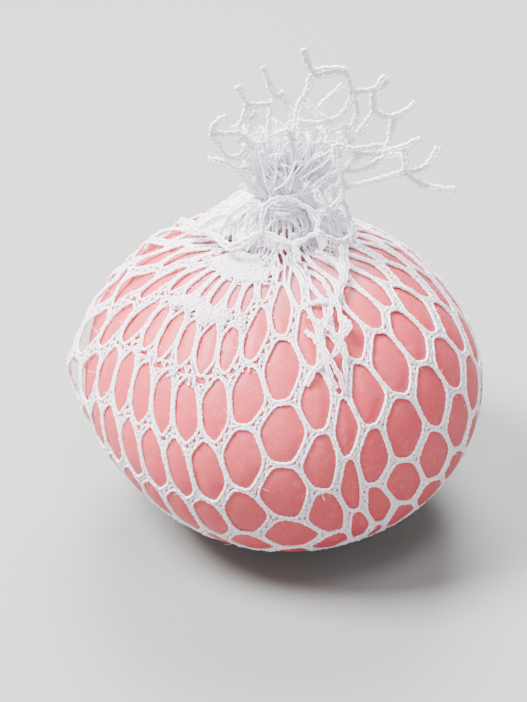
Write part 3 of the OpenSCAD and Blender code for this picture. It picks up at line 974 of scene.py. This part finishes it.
count = 120
t = np.linspace(0, 1, 34)
azimuth = 58 + 262 * (np.arange(count)[:, None] + chance.random((count, 1))) / count
azimuth = azimuth + 7 * np.sin(2 * math.pi * (1.3 * t + chance.random((count, 1)))) * (0.3 + t)
end = 0.72 + 0.3 * chance.random((count, 1))
lift = 1.5 * (chance.random((count, 1)) - 0.3) * np.sin(math.pi * t) + 0.4 * np.sin(
    2 * math.pi * (2.2 * t + chance.random((count, 1)))
)
radial_yarns = collar_place(azimuth, end * t, lift)
count = 26
t = np.linspace(0, 1, 150)
azimuth = 75 + 235 * chance.random((count, 1)) * 0.45 + (70 + 60 * chance.random((count, 1))) * t
azimuth = np.minimum(azimuth, 322)
share = 0.28 + 0.7 * chance.random((count, 1)) + 0.1 * np.abs(
    (9 * t + chance.random((count, 1))) % 1 - 0.5
) * 2
lift = 1.4 * (chance.random((count, 1)) - 0.3) + 0.35 * np.sin(2 * math.pi * (11 * t))
ring_yarns = collar_place(azimuth, np.minimum(share, 1.0), lift)
above = np.array([0.0, 0.0, 1.0])
collar_open = yarn_piece(
    "net_collar_open_cells",
    net_walls(front_cell, FRONT, 0.34, 0.28, (0, -0.7, 0.45))
    + net_walls(hem, FRONT, 0.4, 0.3, (0, -1.4, 0.9))
    + net_walls(behind_front, FRONT, 0.3, 0.27),
)
collar_folds = yarn_piece(
    "net_collar_folds",
    [
        (radial_yarns, above + 0 * radial_yarns, 0.17, 5, False),
        (ring_yarns, above + 0 * ring_yarns, 0.15, 5, False),
    ],
)


def cloth(name, points, thickness):
    """A sheet from a grid of points: the grid moved half its thickness out and in along its
    normals, with a strip of faces round the edge. Its place is its length along both ways."""
    rows, columns = points.shape[:2]
    normal = unit(np.cross(np.gradient(points, axis=1), np.gradient(points, axis=0)))
    both = np.concatenate([(points + normal * thickness / 2).reshape(-1, 3), (points - normal * thickness / 2).reshape(-1, 3)])
    index = np.arange(rows * columns).reshape(rows, columns)
    top = np.stack([index[:-1, :-1], index[1:, :-1], index[1:, 1:], index[:-1, 1:]], -1).reshape(-1, 4)
    rim = np.concatenate([index[0, :-1], index[:-1, -1], index[-1, :0:-1], index[:0:-1, 0]])
    beyond = np.roll(rim, -1)
    under = rows * columns
    edge = np.stack([rim, beyond, beyond + under, rim + under], -1)
    quads = np.concatenate([top, top[:, ::-1] + under, edge])
    across = np.concatenate([[0], np.cumsum(np.linalg.norm(np.diff(points.mean(0), axis=0), axis=-1))])
    up = np.concatenate([[0], np.cumsum(np.linalg.norm(np.diff(points.mean(1), axis=0), axis=-1))])
    places = np.stack(np.broadcast_arrays(across[None, :], up[:, None]), -1).reshape(-1, 2)
    return make_piece(name, both, quads, no_triangles, yarn, places[quads % under])


# The folds' own body: layers of net so closely crumpled that they read as one pleated cloth
azimuth = np.linspace(54, 320, 420)[None, :]
share = np.linspace(0.02, 1, 46)[:, None]
fold = np.radians(azimuth * 21) + 2.6 * np.sin(2.3 * share + np.radians(azimuth) * 1.7)
pleats = 0.5 * np.sin(fold) * np.sqrt(share) + 0.22 * np.sin(np.radians(azimuth * 47) + 9 * share)
scallop = 0.86 + 0.06 * np.cos(np.radians(azimuth * 13)) + 0.03 * np.sin(np.radians(azimuth * 31))
collar_cloth = cloth(
    "net_collar_pleats",
    collar_place(azimuth + 2.5 * np.sin(5 * share + azimuth / 9), scallop * share, pleats - 0.5 + 1.1 * np.exp(-(((share - 0.24) / 0.2) ** 2))),
    0.3,
)
for piece in (collar_open, collar_folds, collar_cloth):
    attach(piece, "crown")
    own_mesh(piece)
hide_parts("net_collar")
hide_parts("net_collar")

# ---- Loose strip ----
# A torn-off run of the collar's net hangs down the front right: ten short lengths of its walls,
# twisted together high up and fanned out into loops and loose ends lower down.


def down_the_side(places, rings):
    """A smooth line over the sleeve through (azimuth, length up the side, lift) places."""
    places = rounded_line(np.array(places, float)[None], rings, False)[0]
    return on_ball(sleeve_outline, places[:, 0], places[:, 1], YARN_LIFT + places[:, 2])


strip_runs = [
    [(84, 39, 4.4), (72.8, 40, 3.6), (64.2, 40.0, 2.8), (53.8, 38.6, 2.2), (48.0, 36.6, 1.6), (39.5, 35.1, 1.4),
     (30.8, 33.1, 1.3), (29.0, 31.4, 1.3), (27.5, 28.6, 1.3), (25.5, 26.4, 1.2), (23.2, 24.4, 1.1), (19.5, 22.5, 1.0),
     (16.2, 21.9, 0.9), (13.8, 21.4, 0.8), (10.5, 20.1, 0.6), (8.5, 18.0, 0.3)],
    [(80, 38.6, 3.8), (70, 39.4, 3.0), (62.8, 39.1, 2.6), (55.2, 37.5, 1.8), (47.8, 36.2, 1.5), (39.8, 34.5, 1.2),
     (32.0, 32.8, 1.1), (26.5, 32.0, 1.2), (23.8, 29.8, 1.2), (20.5, 29.0, 1.1), (17.0, 27.5, 1.0), (16.2, 26.4, 0.9),
     (16.2, 24.6, 0.9), (16.5, 22.6, 1.3), (17.8, 21.2, 1.2), (19.2, 19.6, 1.0), (20.0, 17.4, 0.7), (20.2, 15.8, 0.3)],
    [(43, 42.5, 2.4), (47, 41, 2.0), (48.5, 39.4, 1.8), (47.5, 37.9, 1.6), (44.2, 36.0, 1.5), (38.5, 34.8, 1.4)],
    [(17.8, 28.8, 1.4), (20.0, 27.4, 1.5), (22.0, 25.8, 1.5), (23.2, 24.5, 1.3), (24.5, 23.2, 1.0), (22.8, 21.4, 0.8),
     (22.0, 19.2, 0.5), (20.5, 16.8, 0.3)],
    [(23.2, 40.6, 0.5), (29.2, 39.0, 0.7), (30.5, 37.0, 0.9), (29.2, 34.6, 1.1), (28.2, 32.8, 1.3)],
    [(28.2, 32.4, 1.3), (25.5, 32.5, 1.1), (21.0, 32.8, 0.8), (15.5, 33.1, 0.5), (12.8, 32.9, 0.2)],
    [(13.8, 30.6, 0.3), (16.5, 29.1, 0.8), (17.2, 28.1, 1.2)],
    [(10.5, 27.8, 0.3), (13.2, 26.5, 0.6), (14.5, 25.1, 0.8), (15.2, 23.5, 0.9), (16.5, 22.2, 1.1), (15.8, 20.8, 0.9),
     (17.0, 18.0, 0.6), (18.0, 17.0, 0.3)],
    [(27.4, 28.9, 1.5), (28.2, 27.8, 1.8), (28.9, 26.8, 2.0), (28.1, 25.9, 1.9), (25.2, 25.5, 1.4)],
    [(27.0, 28.2, 1.6), (27.9, 27.2, 2.0), (27.0, 26.4, 1.7)],
]
strip_groups = []
for index, run in enumerate(strip_runs):
    line, outward = down_the_side(run, 8 + 6 * len(run))
    tangent = unit(np.gradient(line, axis=0))
    side = np.cross(tangent, outward)
    t = np.linspace(0, 1, len(line))[:, None]
    for shift, thick in ((0.27, 0.22), (-0.27, 0.22), (0.0, 0.16)):
        sway = 0.11 * np.sin(5 * len(run) * t + 2 * index + 9 * shift)
        sway = sway + (0.28 * np.sin(9 * len(run) * t) if shift == 0 else 0)
        strip_groups.append(
            ((line + (shift + sway) * side)[None], outward[None], thick, 7, False)
        )
strip = yarn_piece("net_strip_rope", strip_groups)
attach(strip, "ball")
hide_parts("net_strip")
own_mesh(strip)

# ---- Tuft ----
# What is left of the tube stands up from the tie as a fan of cut net: a tall open cell at the
# top, short petals at the left, a long one at the right, and crumpled folds in the middle.
left_petal = [
    [(-3.2, 1.0, 24.6), (-2.2, 1.0, 21.6), (-1.2, 1.0, 18.9)],
    [(-1.2, 1.0, 18.9), (-1.8, 0.5, 17.0), (-2.1, 0.0, 14.6), (-2.3, -1.0, 11.0), (-1.4, -1.0, 7.4), (-0.7, -1.0, 2.0)],
    [(-1.2, 1.0, 18.9), (0.2, 1.6, 18.4), (1.4, 1.6, 16.6), (2.2, 1.0, 14.6)],
    [(-0.2, 1.6, 19.2), (0.9, 1.8, 18.0), (1.2, 1.4, 15.6)],
    [(-7.6, -2.0, 22.4), (-6.8, -2.0, 20.4), (-5.7, -2.0, 18.6)],
    [(-5.7, -2.0, 18.6), (-4.2, -1.6, 18.3), (-2.0, -0.6, 18.2)],
    [(-5.7, -2.0, 18.6), (-6.4, -2.0, 16.4), (-7.6, -2.4, 14.2)],
    [(-4.4, -1.4, 17.0), (-5.4, -2.0, 15.2), (-5.6, -2.4, 13.4)],
    [(-9.6, -4.0, 17.4), (-11.2, -4.0, 16.8), (-12.2, -4.0, 15.0), (-11.9, -4.0, 13.6)],
    [(-12.3, -4.0, 14.4), (-10.0, -3.4, 13.5), (-7.4, -3.0, 14.0), (-5.8, -3.0, 12.4), (-4.2, -3.0, 9.6), (-2.4, -2.6, 5.0)],
    [(-12.8, -4.0, 8.9), (-10.4, -4.0, 8.6), (-8.0, -4.0, 6.8), (-5.4, -4.4, 4.0), (-2.6, -3.4, 1.2)],
    [(-11.9, -4.0, 13.6), (-10.8, -4.0, 11.8), (-9.5, -4.0, 9.2)],
    [(-9.5, -4.0, 9.6), (-8.2, -3.6, 8.9), (-6.4, -3.0, 9.4), (-5.4, -3.0, 11.6)],
    [(-6.4, -3.0, 9.4), (-4.4, -3.2, 7.0), (-2.2, -2.8, 3.4)],
    [(-8.0, -4.0, 6.8), (-6.4, -3.6, 7.0), (-4.4, -3.2, 6.0)],
]
middle_petal = [
    [(4.0, 0.0, 28.6), (4.5, 0.6, 26.0), (5.5, 1.8, 23.2)],
    [(5.5, 2.0, 23.0), (7.2, 2.4, 23.3), (9.4, 2.8, 23.5), (11.2, 3.0, 23.2)],
    [(5.4, 1.8, 22.2), (7.4, 2.4, 22.4), (9.6, 2.8, 22.6), (11.3, 3.0, 22.4)],
    [(11.3, 3.0, 23.0), (11.9, 3.0, 21.0), (12.6, 3.0, 18.4)],
    [(12.6, 3.0, 18.4), (12.2, 2.4, 16.8), (10.9, 1.2, 15.0), (8.4, 0.0, 14.2), (5.6, -0.6, 14.2), (3.0, -1.0, 14.7)],
    [(5.4, 2.0, 22.6), (5.0, 1.8, 20.6), (4.0, 1.0, 18.6)],
    [(4.0, 1.0, 18.6), (5.0, 0.6, 17.0), (6.4, 0.2, 15.6), (8.4, 0.0, 14.8)],
    [(4.0, 1.0, 18.6), (3.2, 0.6, 17.6), (2.8, -0.4, 15.6), (2.6, -1.0, 13.6), (1.6, -1.2, 8.0), (0.8, -1.0, 2.0)],
    [(7.0, 4.0, 15.0), (8.6, 4.6, 17.0), (10.9, 5.0, 18.8)],
    [(-0.9, -5.0, 14.2), (0.4, -5.2, 15.0), (1.5, -5.0, 15.2), (2.2, -4.4, 12.6), (2.4, -3.0, 8.0), (1.2, -2.0, 3.0)],
    [(3.0, -1.0, 14.6), (4.6, -1.4, 11.4), (5.2, -1.8, 7.0), (2.4, -1.6, 2.0)],
    [(8.4, 0.0, 14.3), (8.0, -0.8, 11.2), (8.6, -1.8, 8.0), (6.2, -2.0, 4.4), (2.8, -1.6, 1.4)],
]
right_petal = [
    [(12.6, 3.0, 18.4), (14.4, 4.0, 18.4), (16.4, 5.0, 17.9)],
    [(16.4, 5.0, 17.9), (17.5, 5.6, 18.8), (18.4, 6.0, 20.2)],
    [(17.4, 5.6, 18.2), (18.4, 6.0, 18.6), (19.2, 6.4, 19.2)],
    [(16.4, 5.0, 17.9), (16.2, 5.6, 15.4), (16.6, 6.0, 13.1)],
    [(16.6, 6.0, 13.1), (18.2, 7.0, 11.6), (20.2, 8.0, 10.9)],
    [(20.2, 8.0, 10.9), (22.0, 9.2, 11.2), (24.0, 10.2, 12.6)],
    [(16.6, 6.0, 13.1), (14.8, 5.0, 10.6), (12.6, 4.0, 8.2), (8.6, 2.0, 5.8), (3.4, 0.6, 2.4)],
    [(12.8, 3.0, 17.6), (13.8, 3.6, 14.6), (12.6, 3.4, 11.4), (12.0, 3.6, 8.6)],
    [(20.2, 8.0, 10.9), (20.0, 8.6, 9.0), (19.5, 9.0, 7.0), (19.2, 8.0, 4.6), (16.0, 5.0, 4.0)],
    [(9.7, -3.0, 11.3), (11.0, -3.0, 10.6), (12.8, -3.0, 10.2), (15.4, -2.0, 10.4), (18.0, -1.0, 10.1)],
    [(12.6, -2.6, 9.6), (15.0, -2.0, 8.6), (18.2, -1.6, 9.2), (21.4, -2.0, 10.2)],
    [(21.4, -2.0, 10.2), (22.6, -2.6, 11.0), (24.4, -3.2, 12.8)],
    [(21.4, -2.0, 10.2), (22.0, -2.4, 8.0), (21.8, -3.0, 5.9)],
    [(21.8, -3.0, 5.9), (18.8, -3.6, 5.2), (15.5, -4.0, 4.4), (12.0, -4.0, 3.4), (7.0, -3.4, 2.6), (3.2, -2.4, 1.0)],
    [(21.8, -3.0, 5.9), (23.6, -0.6, 4.6), (25.4, 2.0, 3.9), (27.0, 3.4, 4.6), (28.0, 4.0, 6.9)],
    [(21.8, -3.0, 5.9), (23.6, -2.2, 3.8), (25.8, -1.4, 2.0)],
    [(25.8, -1.4, 2.0), (28.2, -1.8, 1.9), (31.0, -2.2, 1.8)],
    [(10.8, -4.0, 6.7), (12.2, -3.0, 7.6), (13.8, -2.0, 8.5), (15.0, -1.0, 9.4)],
    [(10.8, -4.0, 6.7), (13.6, -2.4, 5.6), (16.3, -0.6, 6.0), (19.4, 1.6, 7.0), (21.6, -1.6, 8.4)],
    [(9.7, -3.0, 11.3), (9.4, -3.4, 8.6), (10.8, -4.0, 6.7), (10.4, -4.2, 5.0), (12.0, -4.0, 3.4)],
    [(10.8, -4.0, 4.0), (11.0, -5.0, 1.8), (9.6, -5.6, 0.6), (8.2, -5.6, -0.8), (7.0, -5.4, -1.4)],
    [(6.1, -5.0, 3.4), (6.8, -5.6, 1.4), (8.2, -5.8, 0.2)],
    [(10.8, -4.0, 6.7), (8.4, -3.6, 5.6), (6.1, -4.6, 3.4), (3.4, -3.2, 1.6)],
]
SIDEWAYS = (0.1, -1.0, 0.25)
tuft_flat = {"left": (0.03, 0.024), "middle": (0.03, 0.03), "right": (0.036, 0.036)}
tuft_pieces = {}
for name, walls in (("left", left_petal), ("middle", middle_petal), ("right", right_petal)):
    tuft_pieces[name] = yarn_piece("tuft_" + name + "_net", net_walls(walls, SIDEWAYS, 0.34, 0.33))

# The crumpled middle: yarns from the bunch that run up into the fan and loop back
count = 100
base_turn = 2 * math.pi * chance.random(count)
base_r = 3.0 * np.sqrt(chance.random(count))
lean = np.stack(
    [-6.5 + 17.5 * chance.random(count), -4.5 + 9 * chance.random(count), 5 + 10.5 * chance.random(count)], -1
)
lean[:, 2] -= 0.35 * np.abs(lean[:, 0] - 2.0)
foot = np.stack([base_r * np.sin(base_turn), -base_r * np.cos(base_turn), 0 * base_r - 0.6], -1)
share = np.array([0, 0.3, 0.6, 0.88, 1.0, 0.86, 0.62, 0.4])[None, :, None]
control = foot[:, None] + (lean - foot)[:, None] * share
control[..., :2] += 0.9 * np.sin(math.pi * share) * unit(foot)[:, None, :2]
control = control + 1.0 * (chance.random(control.shape) - 0.5) * smooth_step(share, 0, 0.4) * 2
turned = np.array([0, 0, 0, 0.1, 0.5, 0.9, 1.0, 1.0])[None, :, None]
aside = unit(chance.normal(size=(count, 1, 3)) * np.array([1.0, 0.7, 0.15]))
control = control + (1.2 + 1.6 * chance.random((count, 1, 1))) * aside * turned
folds = rounded_line(control + TOP, 60, False)
tuft_folds = yarn_piece(
    "tuft_crumpled_folds", [(folds, np.array(SIDEWAYS) + 0 * folds, 0.18, 5, False)]
)
tuft_pieces["folds"] = tuft_folds
# Whole cells among them: two layers of honeycomb, crumpled and pulled towards the tie
across, up = (x.ravel() for x in np.meshgrid(np.arange(-3, 4), np.arange(0, 5), indexing="ij"))
crumpled_walls = []
for layer, depth in enumerate((-2.2, 2.0)):

    def node(p, q):
        """A corner of the honeycomb: even spacing, pulled in low down, with a wander of 1 mm."""
        wide = 0.45 + 0.13 * q
        x = 1.2 + 2.75 * p * wide + 0.9 * math.sin(2.3 * p + 3.1 * q + 4 * layer)
        y = depth * (0.5 + 0.1 * q) + 1.1 * math.sin(3.7 * p - 1.9 * q + 2 * layer)
        z = 0.8 + 2.5 * q - 0.09 * p * p + 0.7 * math.sin(1.7 * p + 2.9 * q + layer)
        return (x, y, z)

    for p, q in zip(across, up):
        odd = 0.5 * (p % 2)
        low, high, beside = node(p - 0.2, q + odd), node(p + 0.2, q + odd + 0.5), node(p + 0.8, q + 0.5 - odd)
        crumpled_walls.append([low, tuple(np.add(low, high) / 2 + [0.3, 0.4, 0.1]), high])
        crumpled_walls.append([high, tuple(np.add(high, beside) / 2 + [0.1, -0.4, 0.3]), beside])
tuft_pieces["cells"] = yarn_piece("tuft_crumpled_cells", net_walls(crumpled_walls, SIDEWAYS, 0.26, 0.24))
# Between them the net is folded on itself so closely that it reads as pleated cloth
share = np.linspace(0, 1, 40)[:, None]
along = np.linspace(0, 1, 150)[None, :]
for name, depth, tall, left, right, phase, size in (
    ("front", -2.3, 5.4, -7.4, 8.2, 0.0, (0.015, 0.01)),
    ("middle", 0.2, 7.6, -8.2, 9.6, 0.4, (0.02, 0.011)),
    ("back", 2.3, 9.4, -6.4, 9.0, 0.8, (0.02, 0.012)),
):
    foot_x = 2.7 * (2 * along - 1)
    x = foot_x + (left + (right - left) * along - foot_x) * share**0.6
    wave = 2 * math.pi * (4.5 * along + phase)
    y = 0.7 * depth + 0.7 * depth * share + (0.25 + 1.0 * share) * np.sin(wave + 1.5 * share)
    y = y + 0.35 * share * np.sin(2.9 * wave + 5 * share)
    ragged = 1 + 0.1 * np.sin(1.7 * wave) + 0.07 * np.sin(5.1 * wave)
    z = (tall - 2.6 * (2 * along - 1) ** 2) * share * ragged - 0.4
    made = cloth("tuft_pleats_" + name, np.stack(np.broadcast_arrays(x, y, z), -1) + TOP, 0.28)
    tuft_pieces["pleats_" + name] = made
for name, piece in tuft_pieces.items():
    if name in tuft_flat:
        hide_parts("tuft_" + name)
        size = tuft_flat[name]
    start, end = (tuple((TOP + [0, 0, z]) * MM) for z in (-1.2, 5.0))
    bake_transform(piece)
